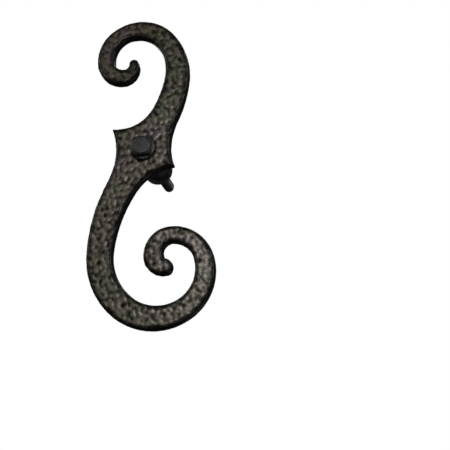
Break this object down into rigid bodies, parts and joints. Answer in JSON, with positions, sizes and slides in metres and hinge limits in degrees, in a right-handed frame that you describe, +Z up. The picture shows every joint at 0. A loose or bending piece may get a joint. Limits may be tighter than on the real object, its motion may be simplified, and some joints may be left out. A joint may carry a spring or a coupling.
{
  "type": "scroll shutter dog holdback",
  "caption": "S-shaped scroll shutter dog with a hammered black finish, turning freely on a lag screw and standoff to hold an open shutter against a wall.",
  "frame": {"origin": "the pivot axis where it meets the wall: the centre of the lag screw in the plane of the wall washer's back face", "axes": "+Y into the wall along the pivot, -Y towards the room, +Z up, +X to the right for a person facing the wall"},
  "size_m": [0.0666, 0.0806, 0.169],
  "materials": {
    "hammered_iron": "hammered cast iron under satin black paint with a faint warm cast",
    "black_steel": "black oxide steel with a thin oil sheen",
    "bronze": "oiled sintered bronze, dulled"
  },
  "bodies": {
    "wall_mount": {"lag_screw": "black_steel", "wall_washer": "black_steel", "standoff_tube": "black_steel", "rear_washer": "black_steel", "pivot_bushing": "bronze", "front_washer": "black_steel"},
    "arm": {"scroll_arm": "hammered_iron"}
  },
  "joints": [
    {"name": "arm_swivel", "type": "hinge", "parent": "wall_mount", "child": "arm", "pos_m": [0, -0.03535, 0], "axis": [0, -1, 0], "continuous": true}
  ]
}
